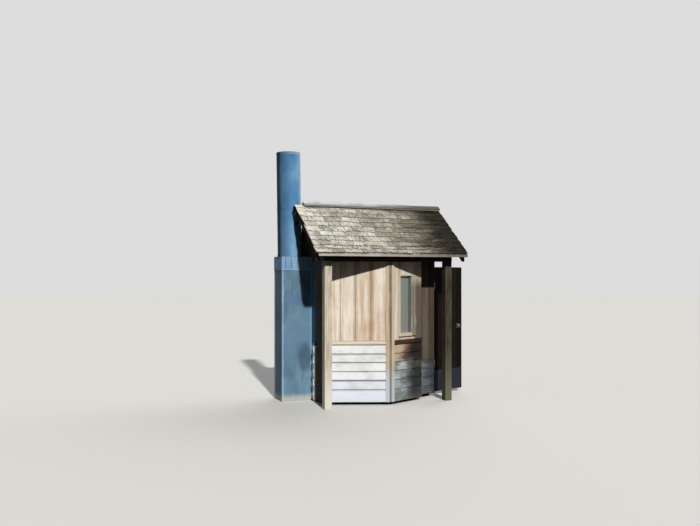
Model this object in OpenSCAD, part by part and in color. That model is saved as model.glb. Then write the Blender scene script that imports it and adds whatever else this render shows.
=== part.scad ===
// Small wooden outhouse with a folded bay front, a steep shake roof on four posts,
// a side door and a sheet metal vent stack. Millimetres, +Z up, the front faces -Y.
// The origin is on the ground, midway between the four corner posts.

/* [Posts and headers] */
// Distance between the left and right post centres
post_gap_x = 1580; // [1300:1:2000]
// Distance between the front and rear post centres
post_gap_y = 1040; // [900:1:1500]
// Side of a square corner post
post_w = 89; // [80:1:110]
// Height of a corner post
post_h = 1700; // [1500:1:2100]
// Height of the header beams that lie on the posts
header_h = 100; // [80:1:140]

/* [Walls] */
// Thickness of a wall with its boards
wall_t = 50; // [38:1:70]
// Step from the front post centres back to the front corner wall
front_setback = 330; // [260:1:400]
// How far the left wall stands inside the left posts
left_wall_in = 17; // [0:1:40]
// How far the right wall stands outside the right post centres
right_wall_out = 13.5; // [0:0.5:40]
// Width of the jamb behind the door
rear_jamb_w = 28; // [25:1:80]
// Gap between the ground and the boards
ground_gap = 36; // [20:1:60]
// Thickness of the floor deck on the ground
deck_t = 60; // [40:1:90]

/* [Bay] */
// Angle of each bay wall to the front
bay_angle = 21.5; // [15:0.5:24]
// Length of the right bay wall along its face
bay_right_w = 552; // [500:1:640]
// Height of the top of the lower siding
siding_top = 716; // [600:1:820]
// Height of the top of the siding on the corner wall
corner_siding_top = 462; // [380:1:600]
// Thickness of the lower siding
siding_t = 16; // [12:1:22]
// Height of the rail over the lower siding
rail_h = 44; // [30:1:60]
// Thickness of the rail
rail_t = 26; // [20:1:34]
// Width of the corner board left of the bay corner
left_corner_board_w = 58; // [40:1:70]
// Width of the corner board right of the bay corner
right_corner_board_w = 46; // [40:1:70]
// Thickness of a corner board
corner_board_t = 22; // [18:1:30]

/* [Window] */
// Distance from the bay corner to the window hole
window_start = 142; // [120:1:170]
// Width of the window hole
window_w = 280; // [230:1:320]
// Height of the bottom of the window hole
window_sill = 820; // [800:1:900]
// Height of the window hole
window_h = 726; // [500:1:740]
// Width of the window frame
window_frame_w = 20; // [14:1:30]
// Thickness of the window pane
pane_t = 5; // [4:1:8]

/* [Door] */
// Gap round the door
door_gap = 5; // [5:0.5:8]
// Thickness of the door
door_t = 36; // [30:1:40]
// Gap between the ground and the door
door_clear = 40; // [30:1:60]
// Height of the top of the door
door_top = 1640; // [1600:1:1790]
// Angle by which the door stands open
door_open = 71; // [0:1:110]
// Height of the kick plate
kick_h = 272; // [200:1:350]
// Height of the door knob above the ground
knob_z = 869; // [800:1:1000]
// Distance from the free edge of the door to the knob
knob_inset = 95; // [45:1:120]

/* [Roof] */
// Angle of the roof slopes
roof_pitch = 39.6; // [35:0.1:45]
// Overhang of the eaves beyond the post centres
eave_overhang = 200; // [160:1:260]
// Overhang of the roof ends beyond the post centres
rake_overhang = 175.5; // [140:0.5:230]
// How far the shakes run past the left barge rafter at the eave
rake_lap = 25; // [10:1:40]
// How much further out the shakes end on the left at the ridge than at the eave
rake_skew = 35; // [10:1:60]
// Height of the underside of the boards at the eave
eave_z = 1753; // [1740:1:1765]
// Thickness of the roof boards
sheathing_t = 22; // [16:1:30]
// Thickness of the layer of shakes
shake_t = 26; // [18:1:34]
// Thickness of a rafter
rafter_w = 38; // [30:1:50]
// Depth of a rafter
rafter_d = 89; // [75:1:110]
// Height of the ridge board
ridge_board_h = 150; // [120:1:180]
// Width of a ridge cap board
cap_w = 58; // [45:1:110]
// Thickness of a ridge cap board
cap_t = 16; // [12:1:25]
// How far the ridge cap stops short of the left barge rafter
cap_setback = 63; // [0:1:120]

/* [Vent stack] */
// Width of the stack box
box_w = 393; // [360:1:480]
// Depth of the stack box
box_d = 297; // [250:1:360]
// Height of the stack box
box_h = 1757; // [1400:1:2000]
// Thickness of the sheet metal of the stack box
box_t = 4; // [3:1:6]
// Gap between the stack box and the rear posts
box_rear_gap = 43.5; // [15:0.5:60]
// Outer diameter of the pipe
pipe_d = 295; // [240:1:305]
// Thickness of the pipe
pipe_t = 4; // [3:1:6]
// Height of the top of the pipe
pipe_top = 3046; // [2700:1:3400]
// Lean of the pipe away from the hut
pipe_lean = 0.8; // [0:0.1:2]
// Room left round the pipe where it passes the roof
pipe_room = 25; // [15:1:40]

/* [Hidden] */
$fn = 96;

// Plan of the hut
half_x = post_gap_x / 2;
half_y = post_gap_y / 2;
left_face = -half_x + post_w / 2 + left_wall_in;
right_face = half_x + right_wall_out;
rear_face = half_y - post_w / 2;
rear_in = rear_face - wall_t;
corner_face = -half_y + front_setback;
corner_in = corner_face + wall_t;
wall_top = post_h + header_h;

// The two bay walls meet at the bay corner, in line with the front faces of the posts
bay_corner_y = -half_y - post_w / 2;
bay_left_end_y = bay_corner_y - left_face * tan(bay_angle);
bay_skew = wall_t / cos(bay_angle);
bay_right_end = [bay_right_w * cos(bay_angle), bay_corner_y + bay_right_w * sin(bay_angle)];
bay_h = post_h - ground_gap;
bay_left_w = -left_face / cos(bay_angle);
seat_gap = 0.2;
return_y = bay_right_end[1] + bay_skew + seat_gap;

// Hinge axis and door leaf
knuckle_r = 7;
pin_r = 3;
pin_room = 0.1;
pin_tip = 4;
pin_head_out = 2;
axis_out = knuckle_r + 1;
hinge_x = right_face + axis_out;
hinge_y = corner_in + door_gap / 2;
door_w = rear_face - rear_jamb_w - corner_in - 2 * door_gap;
door_h = door_top - door_clear;
hinge_h = 90;
hinge_zs = [door_clear + kick_h + 48, door_top - 290];
knuckle_n = 5;
knuckle_room = 0.6;
leaf_t = 2.5;
leaf_w = 34;
leaf_start = 8;
kick_t = 2;
kick_margin = 25;
stop_w = 18;
stop_t = 8;
knob_r = 24;
knob_len = 46;
rose_r = 30;
rose_t = 5;

// Section of the roof
roof_half = half_y + eave_overhang;
roof_w = post_gap_x + 2 * rake_overhang;
ridge_z = eave_z + roof_half * tan(roof_pitch);
sheathing_v = sheathing_t / cos(roof_pitch);
shake_v = shake_t / cos(roof_pitch);
rafter_v = rafter_d / cos(roof_pitch);
cap_v = cap_t / cos(roof_pitch);
cap_run = cap_w * cos(roof_pitch);
ridge_board_t = 22;
rafter_tail_gap = 76;
header_half = half_x + post_w / 2;
inner_rafter_x = post_gap_x / 6;
corner_gap = 2;
function under_z(y) = ridge_z - abs(y) * tan(roof_pitch);
ridge_board_z = under_z(ridge_board_t / 2) - ridge_board_h;

// Vent stack
box_right = left_face;
box_back = half_y - post_w / 2 - box_rear_gap;
pipe_x = box_right - box_w + pipe_d / 2;
pipe_y = box_back - box_d / 2;
lid_t = 6;
lid_out = 4;
collar_h = 32;
collar_t = 3;
pipe_foot = box_h + lid_t;
foot_spare = 10;

// Colours
wood_warm = [0.72, 0.62, 0.48];
wood_pale = [0.82, 0.82, 0.80];
wood_dark = [0.33, 0.27, 0.22];
wood_post = [0.66, 0.58, 0.47];
shake_grey = [0.55, 0.52, 0.46];
stack_blue = [0.36, 0.50, 0.62];
steel_grey = [0.55, 0.56, 0.57];
pane_grey = [0.55, 0.60, 0.58];

// A prism along X whose section is given in the YZ plane
module along_x(x0, x1, section) {
    translate([x0, 0, 0])
        rotate([90, 0, 90])
            linear_extrude(height = x1 - x0)
                polygon(section);
}

// A block on the face of a bay wall: side is -1 or 1, s runs along the face from the bay corner,
// n runs outwards from the face
module on_bay(side, s0, s1, n0, n1, z0, z1) {
    translate([0, bay_corner_y, 0])
        rotate([0, 0, side * bay_angle])
            translate([min(side * s0, side * s1), -n1, z0])
                cube([s1 - s0, n1 - n0, z1 - z0]);
}

// A bay wall with upright ends at x = 0 and x = end_x
module bay_wall(end_x) {
    end_y = bay_corner_y + abs(end_x) * tan(bay_angle);
    translate([0, 0, ground_gap])
        linear_extrude(height = bay_h)
            polygon([
                [0, bay_corner_y],
                [end_x, end_y],
                [end_x, end_y + bay_skew],
                [0, bay_corner_y + bay_skew]
            ]);
}

module corner_post(x, y) {
    color(wood_post)
        translate([x - post_w / 2, y - post_w / 2, 0])
            cube([post_w, post_w, post_h]);
}

module header(y) {
    color(wood_dark)
        translate([-header_half, y - post_w / 2, post_h])
            cube([2 * header_half, post_w, header_h]);
}

// A pair of rafters that meet at the ridge board, with plumb cut tails
module rafter_pair(x0) {
    tail_y = roof_half - rafter_tail_gap;
    for (side = [-1, 1])
        along_x(x0, x0 + rafter_w, [
            [side * ridge_board_t / 2, under_z(ridge_board_t / 2)],
            [side * ridge_board_t / 2, under_z(ridge_board_t / 2) - rafter_v],
            [side * tail_y, under_z(tail_y) - rafter_v],
            [side * tail_y, under_z(tail_y)]
        ]);
}

// The birdsmouths are the headers' own shape cut from the rafters that lie on them
module header_seats() {
    for (y = [-half_y, half_y])
        translate([-header_half, y - post_w / 2, post_h - header_h])
            cube([2 * header_half, post_w, 2 * header_h]);
}

// One layer of a roof slope between two heights above the underside of the boards, which runs
// further out on the left by more_left
module slope_layer(side, v0, v1, more_left = 0) {
    along_x(-roof_w / 2 - more_left, roof_w / 2, [
        [0, under_z(0) + v0],
        [side * roof_half, under_z(roof_half) + v0],
        [side * roof_half, under_z(roof_half) + v1],
        [0, under_z(0) + v1]
    ]);
}

// The shakes of one slope, whose left ends run out from the barge rafter towards the ridge
module shake_layer(side) {
    difference() {
        slope_layer(side, sheathing_v, sheathing_v + shake_v, rake_lap + rake_skew);
        translate([0, 0, wall_top - header_h])
            linear_extrude(height = ridge_z)
                polygon([
                    [-roof_w / 2 - rake_lap + rake_skew, 2 * side * roof_half],
                    [-roof_w / 2 - rake_lap - 2 * rake_skew, -side * roof_half],
                    [-roof_w, -side * roof_half],
                    [-roof_w, 2 * side * roof_half]
                ]);
    }
}

// The cut in the rear slope that lets the pipe pass
module pipe_notch() {
    translate([-roof_w, pipe_y - pipe_d / 2 - pipe_room, wall_top])
        cube([
            roof_w + pipe_x + pipe_d / 2 + pipe_room,
            pipe_d + 2 * pipe_room,
            pipe_top - wall_top
        ]);
}

// A tube that leans with the pipe and is cut level where it stands on the lid
module leaning_tube(inner_d, outer_d, length) {
    translate([pipe_x, pipe_y, pipe_foot])
        difference() {
            rotate([0, -pipe_lean, 0])
                difference() {
                    translate([0, 0, -foot_spare])
                        cylinder(d = outer_d, h = length + foot_spare);
                    translate([0, 0, -foot_spare - 1])
                        cylinder(d = inner_d, h = length + foot_spare + 2);
                }
            translate([-pipe_d, -pipe_d, -2 * foot_spare])
                cube([2 * pipe_d, 2 * pipe_d, 2 * foot_spare]);
        }
}

module gable(x0, y_front) {
    color(wood_dark)
        difference() {
            along_x(x0, x0 + wall_t, [
                [y_front, wall_top],
                [y_front, under_z(y_front) - seat_gap],
                [0, under_z(0) - seat_gap],
                [rear_face, under_z(rear_face) - seat_gap],
                [rear_face, wall_top]
            ]);
            translate([x0 - 1, -ridge_board_t / 2, ridge_board_z])
                cube([wall_t + 2, ridge_board_t, 2 * ridge_board_h]);
        }
}

// Puts a door piece, drawn closed with the hinge axis as its origin, where the open door stands
module hung() {
    translate([hinge_x, hinge_y, 0])
        rotate([0, 0, -door_open])
            children();
}

// Half of each hinge: the plate lies on the face beside the axis, side is -1 for the frame
// and 1 for the door, and every second knuckle from the first belongs to it
module hinge_half(side, first) {
    step = hinge_h / knuckle_n;
    plate_y = side < 0 ? -leaf_start - leaf_w : leaf_start;
    tongue_y = side < 0 ? -leaf_start : 0;
    for (z0 = hinge_zs)
        translate([0, 0, z0]) {
            translate([-axis_out, plate_y, 0])
                cube([leaf_t, leaf_w, hinge_h]);
            for (i = [first : 2 : knuckle_n - 1])
                translate([0, 0, i * step + knuckle_room])
                    difference() {
                        union() {
                            cylinder(r = knuckle_r, h = step - knuckle_room);
                            translate([-axis_out, tongue_y, 0])
                                cube([leaf_t, leaf_start, step - knuckle_room]);
                        }
                        translate([0, 0, -1])
                            cylinder(r = pin_r + pin_room, h = step + 2);
                    }
        }
}

module floor_deck() {
    color(wood_dark)
        linear_extrude(height = deck_t)
            polygon([
                [left_face + wall_t, rear_in],
                [left_face + wall_t, bay_left_end_y + bay_skew - wall_t * tan(bay_angle)],
                [0, bay_corner_y + bay_skew],
                [bay_right_end[0] - wall_t, bay_right_end[1] + bay_skew - wall_t * tan(bay_angle)],
                [bay_right_end[0] - wall_t, corner_in],
                [right_face - wall_t, corner_in],
                [right_face - wall_t, rear_in]
            ]);
}

module left_wall() {
    color(wood_dark)
        linear_extrude(height = wall_top)
            polygon([
                [left_face, rear_in],
                [left_face, bay_left_end_y + bay_skew],
                [left_face + wall_t, bay_left_end_y + bay_skew - wall_t * tan(bay_angle)],
                [left_face + wall_t, rear_in]
            ]);
}

module rear_wall() {
    color(wood_dark)
        translate([left_face, rear_in, 0])
            cube([right_face - wall_t - left_face, wall_t, wall_top]);
}

module right_rear_jamb() {
    color(wood_dark)
        translate([right_face - wall_t, rear_face - rear_jamb_w, 0])
            cube([wall_t, rear_jamb_w, wall_top]);
}

module door_head() {
    color(wood_dark)
        translate([right_face - wall_t, corner_in, door_top + door_gap])
            cube([wall_t, rear_face - rear_jamb_w - corner_in, wall_top - door_top - door_gap]);
}

module front_corner_wall() {
    color(wood_warm)
        translate([bay_right_end[0] - wall_t, corner_face, ground_gap])
            cube([right_face - bay_right_end[0] + wall_t, wall_t, wall_top - ground_gap]);
}

module corner_wall_siding() {
    color(wood_pale)
        translate([bay_right_end[0] + corner_gap, corner_face - siding_t, ground_gap])
            cube([
                right_face - bay_right_end[0] - 2 * corner_gap,
                siding_t,
                corner_siding_top - ground_gap
            ]);
}

module bay_return() {
    color(wood_warm)
        translate([0, 0, ground_gap])
            linear_extrude(height = bay_h)
                polygon([
                    [bay_right_end[0], return_y],
                    [bay_right_end[0], corner_face],
                    [bay_right_end[0] - wall_t, corner_face],
                    [bay_right_end[0] - wall_t, return_y - wall_t * tan(bay_angle)]
                ]);
}

module bay_left_wall() {
    color(wood_warm)
        bay_wall(left_face);
}

module bay_left_siding() {
    color(wood_pale)
        on_bay(-1, left_corner_board_w, bay_left_w, 0, siding_t, ground_gap, siding_top);
}

module bay_left_rail() {
    color(wood_warm)
        on_bay(-1, left_corner_board_w, bay_left_w, 0, rail_t, siding_top, siding_top + rail_h);
}

module bay_right_wall() {
    color(wood_warm)
        difference() {
            bay_wall(bay_right_end[0]);
            on_bay(1, window_start, window_start + window_w, -2 * wall_t, wall_t,
                window_sill, window_sill + window_h);
        }
}

module bay_right_siding() {
    color(wood_pale)
        on_bay(1, right_corner_board_w, bay_right_w, 0, siding_t, ground_gap, siding_top);
}

module bay_right_rail() {
    color(wood_warm)
        on_bay(1, right_corner_board_w, bay_right_w, 0, rail_t, siding_top, siding_top + rail_h);
}

module corner_boards() {
    color(wood_warm) {
        on_bay(-1, corner_gap, left_corner_board_w, 0, corner_board_t, ground_gap, post_h);
        on_bay(1, corner_gap, right_corner_board_w, 0, corner_board_t, ground_gap, post_h);
    }
}

module window_frame() {
    color(wood_warm)
        difference() {
            on_bay(1, window_start, window_start + window_w, -wall_t, 0,
                window_sill, window_sill + window_h);
            on_bay(1, window_start + window_frame_w, window_start + window_w - window_frame_w,
                -wall_t - 1, 1, window_sill + window_frame_w, window_sill + window_h - window_frame_w);
        }
}

module window_pane() {
    color(pane_grey)
        on_bay(1, window_start + window_frame_w, window_start + window_w - window_frame_w,
            -wall_t / 2 - pane_t / 2, -wall_t / 2 + pane_t / 2,
            window_sill + window_frame_w, window_sill + window_h - window_frame_w);
}

module left_gable() {
    gable(left_face, bay_left_end_y + bay_skew);
}

module right_gable() {
    gable(right_face - wall_t, corner_face);
}

module front_left_post() {
    corner_post(-half_x, -half_y);
}

module front_right_post() {
    corner_post(half_x, -half_y);
}

module rear_left_post() {
    corner_post(-half_x, half_y);
}

module rear_right_post() {
    corner_post(half_x, half_y);
}

module front_header() {
    header(-half_y);
}

module rear_header() {
    header(half_y);
}

module ridge_board() {
    color(wood_dark)
        translate([-roof_w / 2, -ridge_board_t / 2, ridge_board_z])
            cube([roof_w, ridge_board_t, ridge_board_h]);
}

module left_barge_rafters() {
    color(wood_dark)
        difference() {
            rafter_pair(-roof_w / 2);
            pipe_notch();
        }
}

module right_barge_rafters() {
    color(wood_dark)
        rafter_pair(roof_w / 2 - rafter_w);
}

module inner_rafters() {
    color(wood_dark)
        difference() {
            for (side = [-1, 1])
                rafter_pair(side * inner_rafter_x - rafter_w / 2);
            header_seats();
        }
}

module front_sheathing() {
    color(wood_dark)
        slope_layer(-1, 0, sheathing_v);
}

module rear_sheathing() {
    color(wood_dark)
        difference() {
            slope_layer(1, 0, sheathing_v);
            pipe_notch();
        }
}

module front_shakes() {
    color(shake_grey)
        shake_layer(-1);
}

module rear_shakes() {
    color(shake_grey)
        difference() {
            shake_layer(1);
            pipe_notch();
        }
}

module ridge_cap() {
    base = sheathing_v + shake_v;
    color(shake_grey)
        along_x(-roof_w / 2 + cap_setback, roof_w / 2, [
            [-cap_run, under_z(cap_run) + base],
            [0, under_z(0) + base],
            [cap_run, under_z(cap_run) + base],
            [cap_run, under_z(cap_run) + base + cap_v],
            [0, under_z(0) + base + cap_v],
            [-cap_run, under_z(cap_run) + base + cap_v]
        ]);
}

module stack_box() {
    color(stack_blue)
        translate([box_right - box_w, box_back - box_d, 0])
            difference() {
                cube([box_w, box_d, box_h]);
                translate([box_t, box_t, -1])
                    cube([box_w - 2 * box_t, box_d - 2 * box_t, box_h + 2]);
            }
}

module stack_lid() {
    color(stack_blue)
        difference() {
            translate([box_right - box_w - lid_out, box_back - box_d - lid_out, box_h])
                cube([box_w + lid_out, box_d + 2 * lid_out, lid_t]);
            translate([pipe_x, pipe_y, box_h - 1])
                cylinder(d = pipe_d - 2 * pipe_t, h = lid_t + 2);
        }
}

module stack_collar() {
    color(stack_blue)
        leaning_tube(pipe_d, pipe_d + 2 * collar_t, collar_h);
}

module stack_pipe() {
    color(stack_blue)
        leaning_tube(pipe_d - 2 * pipe_t, pipe_d, (pipe_top - pipe_foot) / cos(pipe_lean));
}

module door_stops() {
    color(wood_dark) {
        translate([right_face - wall_t, rear_face - rear_jamb_w - stop_w, deck_t])
            cube([stop_t, stop_w, door_top + door_gap - stop_w - deck_t]);
        translate([right_face - wall_t, corner_in, door_top + door_gap - stop_w])
            cube([stop_t, rear_face - rear_jamb_w - corner_in, stop_w]);
    }
}

module hinge_leaves_frame() {
    color(steel_grey)
        translate([hinge_x, hinge_y, 0])
            hinge_half(-1, 0);
}

module hinge_pins() {
    color(steel_grey)
        for (z0 = hinge_zs)
            translate([hinge_x, hinge_y, z0]) {
                translate([0, 0, -pin_tip])
                    cylinder(r = pin_r, h = hinge_h + pin_tip);
                translate([0, 0, hinge_h])
                    cylinder(r = pin_r + pin_head_out, h = pin_tip);
            }
}

module side_door() {
    color(wood_dark)
        hung()
            translate([-axis_out - door_t, door_gap / 2, door_clear])
                cube([door_t, door_w, door_h]);
}

module kick_plate() {
    color(stack_blue)
        hung()
            translate([-axis_out, door_gap / 2 + kick_margin, door_clear])
                cube([kick_t, door_w - 2 * kick_margin, kick_h]);
}

module door_knob() {
    color(steel_grey)
        hung()
            for (side = [0, 1])
                translate([-axis_out - side * door_t, door_gap / 2 + door_w - knob_inset, knob_z])
                    mirror([side, 0, 0])
                        rotate([0, 90, 0])
                            rotate_extrude()
                                polygon([
                                    [0, 0],
                                    [rose_r, 0],
                                    [rose_r, rose_t],
                                    [knob_r / 2, rose_t + 3],
                                    [knob_r / 2, knob_len / 2],
                                    [knob_r, knob_len / 2 + 6],
                                    [knob_r, knob_len - 8],
                                    [knob_r * 0.7, knob_len],
                                    [0, knob_len]
                                ]);
}

module hinge_leaves_door() {
    color(steel_grey)
        hung()
            hinge_half(1, 1);
}

floor_deck();
left_wall();
rear_wall();
right_rear_jamb();
door_head();
front_corner_wall();
corner_wall_siding();
bay_return();
bay_left_wall();
bay_left_siding();
bay_left_rail();
bay_right_wall();
bay_right_siding();
bay_right_rail();
corner_boards();
window_frame();
window_pane();
left_gable();
right_gable();
front_left_post();
front_right_post();
rear_left_post();
rear_right_post();
front_header();
rear_header();
ridge_board();
left_barge_rafters();
right_barge_rafters();
inner_rafters();
front_sheathing();
rear_sheathing();
front_shakes();
rear_shakes();
ridge_cap();
stack_box();
stack_lid();
stack_collar();
stack_pipe();
door_stops();
hinge_leaves_frame();
hinge_pins();
side_door();
kick_plate();
door_knob();
hinge_leaves_door();
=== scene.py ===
import math
import random

import bpy
from mathutils import Matrix, Vector


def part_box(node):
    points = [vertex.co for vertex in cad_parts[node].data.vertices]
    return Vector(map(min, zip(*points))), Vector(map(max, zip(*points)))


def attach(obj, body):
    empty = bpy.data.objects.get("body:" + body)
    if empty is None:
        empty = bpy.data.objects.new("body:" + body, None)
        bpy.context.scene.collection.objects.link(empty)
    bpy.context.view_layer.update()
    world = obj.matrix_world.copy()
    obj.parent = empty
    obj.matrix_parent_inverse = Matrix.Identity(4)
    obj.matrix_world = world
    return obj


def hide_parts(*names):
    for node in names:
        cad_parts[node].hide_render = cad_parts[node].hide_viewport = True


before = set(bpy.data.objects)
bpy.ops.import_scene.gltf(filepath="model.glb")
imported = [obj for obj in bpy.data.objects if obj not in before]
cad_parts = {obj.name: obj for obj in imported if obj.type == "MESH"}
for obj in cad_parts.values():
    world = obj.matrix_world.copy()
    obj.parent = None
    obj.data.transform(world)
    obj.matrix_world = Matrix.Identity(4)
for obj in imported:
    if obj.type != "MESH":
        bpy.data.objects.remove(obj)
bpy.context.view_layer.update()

dice = random.Random(41)
xAlong, zUp = Vector((1, 0, 0)), Vector((0, 0, 1))
print("frame loaded")


# small tools for modelling

def leaveEdit():
    bpy.ops.object.mode_set(mode="OBJECT")


def deselectAll():
    if bpy.context.object and bpy.context.object.mode != "OBJECT":
        leaveEdit()
    bpy.ops.object.select_all(action="DESELECT")


def pick(*pieces):
    deselectAll()
    for piece in pieces:
        piece.select_set(True)
    bpy.context.view_layer.objects.active = pieces[0]


def settle(name, size=(1, 1, 1)):
    # the new primitive's place, turn and size go into its mesh
    piece = bpy.context.object
    piece.name, piece.scale = name, size
    pick(piece)
    bpy.ops.object.transform_apply(location=True, rotation=True, scale=True)
    return piece


def addBlock(name, size, centre=(0, 0, 0)):
    deselectAll()
    bpy.ops.mesh.primitive_cube_add(size=1, location=centre)
    return settle(name, size)


def addTube(name, radius, height, centre, sides):
    deselectAll()
    bpy.ops.mesh.primitive_cylinder_add(vertices=sides, radius=radius, depth=height, location=centre)
    return settle(name)


def choose(piece, kind, test):
    # edit mode, with those of the "edges" or "polygons" selected that pass the test
    deselectAll()
    mesh = piece.data
    for group in (mesh.polygons, mesh.vertices, mesh.edges):
        for item in group:
            item.select = False
    for item in getattr(mesh, kind):
        item.select = test(item)
    bpy.context.tool_settings.mesh_select_mode = (False, kind == "edges", kind == "polygons")
    pick(piece)
    bpy.ops.object.mode_set(mode="EDIT")


def cutAlong(piece, axis, cuts):
    def runsAlong(edge):
        a, b = (piece.data.vertices[i].co for i in edge.vertices)
        run = abs(a[axis] - b[axis])
        return run > 1e-4 and (a - b).length < run + 1e-5

    choose(piece, "edges", runsAlong)
    bpy.ops.mesh.subdivide(number_cuts=cuts)
    leaveEdit()


def finishWith(piece, kind, **settings):
    pick(piece)
    modifier = piece.modifiers.new(kind.title(), kind)
    for key, value in settings.items():
        setattr(modifier, key, value)
    bpy.ops.object.modifier_apply(modifier=modifier.name)


def bevelEdges(piece, width, segments=2):
    finishWith(piece, "BEVEL", width=width, segments=segments, limit_method="ANGLE", angle_limit=math.radians(35))


def keepBelow(piece, point, outward):
    # all that lies on the outward side of the plane is cut away and the cut is closed
    choose(piece, "polygons", lambda face: True)
    bpy.ops.mesh.bisect(plane_co=point, plane_no=outward, use_fill=True, clear_outer=True)
    leaveEdit()


def joinPieces(name, pieces):
    pick(*pieces)
    if len(pieces) > 1:
        bpy.ops.object.join()
    piece = bpy.context.object
    piece.name = piece.data.name = name
    return piece


def placing(along, out, centre):
    along, out = Vector(along).normalized(), Vector(out).normalized()
    matrix = Matrix((along, out.cross(along), out)).transposed().to_4x4()
    matrix.translation = Vector(centre)
    return matrix


def ready(name, pieces, finish, slotName, *nodes, body="hut"):
    # one finished piece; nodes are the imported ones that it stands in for
    piece = joinPieces(name, pieces)
    piece.data.materials.clear()
    piece.data.materials.append(finish)
    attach(piece, body)
    if nodes:
        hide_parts(*nodes)


# masters that are copied: a sawn plank, a split shake, a nail

def asBoard(piece):
    piece.data.uv_layers[0].name = "board"
    piece.data.attributes.new("tone", "FLOAT", "POINT")
    return piece


def modelPlank(name, cuts, bevel):
    piece = addBlock(name, (1, 1, 1))
    cutAlong(piece, 0, cuts)
    bevelEdges(piece, bevel)
    return asBoard(piece)


def modelShake(name, seed):
    piece = addBlock(name, (1, 1, 1), (0, 0, 0.5))
    cutAlong(piece, 1, 4)
    cutAlong(piece, 0, 2)
    choose(piece, "polygons", lambda face: face.normal.z > 0.5)
    bpy.ops.transform.vertex_random(offset=0.10, uniform=0, normal=0, seed=seed)
    leaveEdit()
    return asBoard(piece)


nail = {"radius": 0.0038, "high": 0.0016, "sunk": 0.0004, "fromEdge": 0.022, "stray": 0.006}
plankMaster = modelPlank("plankMaster", cuts=9, bevel=0.0022)
postMaster = modelPlank("postMaster", cuts=24, bevel=0.0035)
shakeMasters = [modelShake(f"shakeMaster{i}", i + 3) for i in range(4)]
nailMaster = addTube("nailMaster", nail["radius"], nail["high"], (0, 0, nail["high"] / 2), sides=8)
bevelEdges(nailMaster, nail["high"] / 3, segments=1)
print("masters modelled")


def newCopy(master):
    piece = master.copy()
    piece.data = master.data.copy()
    bpy.context.collection.objects.link(piece)
    return piece


def stretched(value, size, rim=0.0036):
    # a 1 m master takes the board's size, and its bevelled rim keeps its width
    half = 0.5 - rim
    if abs(value) > half:
        return math.copysign(size / 2 - 0.5 + abs(value), value)
    return value * (size / 2 - rim) / half


def markBoard(piece, tone):
    # the board's own length and width in metres, shifted, so that no two boards share a grain
    mesh = piece.data
    shiftAlong, shiftAcross = dice.uniform(0, 40), dice.uniform(0, 40)
    layer = mesh.uv_layers["board"].data
    for loop in mesh.loops:
        at = mesh.vertices[loop.vertex_index].co
        layer[loop.index].uv = (at.x + shiftAlong, at.y + at.z + shiftAcross)
    mesh.attributes["tone"].data.foreach_set("value", [tone] * len(mesh.vertices))


def layBoard(size, along, out, centre, master=plankMaster, rough=0.0007, taper=0.0, tone=None):
    # centre is on the back face; rough is how far it bends and cups; taper thins the upper edge, as on lapped siding
    length, width, thick = size
    piece = newCopy(master)
    bend = [dice.uniform(-1, 1) * rough for _ in range(4)]
    turn = [dice.uniform(0, 6.3) for _ in range(4)]
    for vertex in piece.data.vertices:
        at = vertex.co
        share = at.x
        x, y = stretched(at.x, length), stretched(at.y, width)
        z = (stretched(at.z, thick) + thick / 2) * (1 - taper * (0.5 + at.y))
        side = 1 if at.y > 0 else 2
        y += bend[side] * math.sin(share * 9 + turn[side])
        z += (at.z > 0) * (bend[0] * math.sin(share * 7 + turn[0]) + bend[3] * at.y)
        vertex.co = (x, y, z)
    markBoard(piece, dice.random() if tone is None else tone)
    piece.data.transform(placing(along, out, centre))
    return piece


def driveNail(at, out):
    piece = newCopy(nailMaster)
    piece.data.transform(placing(Vector(out).orthogonal(), out, at))
    return piece


class Face:
    # an upright wall face: origin at its foot, run along it, out away from the wall
    def __init__(self, origin, run, out):
        self.origin, self.run, self.out = Vector(origin), Vector(run).normalized(), Vector(out).normalized()

    def at(self, s, z, proud=0.0):
        return self.origin + self.run * s + zUp * z + self.out * proud


def uprightBoards(face, edges, low, high, thick, gap=0.003, tones=None):
    boards = []
    for i, (start, end) in enumerate(zip(edges, edges[1:])):
        top = high - dice.uniform(0, 0.002)
        size = (top - low, abs(end - start) - gap, thick)
        tone = tones[i] if tones else None
        boards.append(layBoard(size, zUp, face.out, face.at((start + end) / 2, (low + top) / 2), tone=tone))
    return boards


def levelBoards(face, start, end, edges, thick, tones, taper=0.45, gap=0.002):
    boards = []
    for i, (high, low) in enumerate(zip(edges, edges[1:])):
        size = (abs(end - start) - 0.001 - dice.uniform(0, 0.003), abs(low - high) - gap, thick)
        middle = face.at((start + end) / 2, (high + low) / 2)
        boards.append(layBoard(size, zUp.cross(face.out), face.out, middle, taper=taper, tone=tones[i]))
    return boards


def evenEdges(start, end, width):
    count = max(1, round(abs(end - start) / width))
    return [start + (end - start) * i / count for i in range(count + 1)]


def addNails(name, face, edges, heights, thick):
    nails = []
    for low, high in (sorted(pair) for pair in zip(edges, edges[1:])):
        for z in heights:
            for s in (low + nail["fromEdge"], high - nail["fromEdge"]):
                stray = dice.uniform(-nail["stray"], nail["stray"])
                nails.append(driveNail(face.at(s, z + stray, thick - nail["sunk"]), face.out))
    ready(name, nails, hardwareFinish, "steel")


# finishes

def fromHex(code):
    parts = [int(code[i:i + 2], 16) / 255 for i in (0, 2, 4)]
    return tuple(c / 12.92 if c <= 0.04045 else ((c + 0.055) / 1.055) ** 2.4 for c in parts) + (1.0,)


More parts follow.
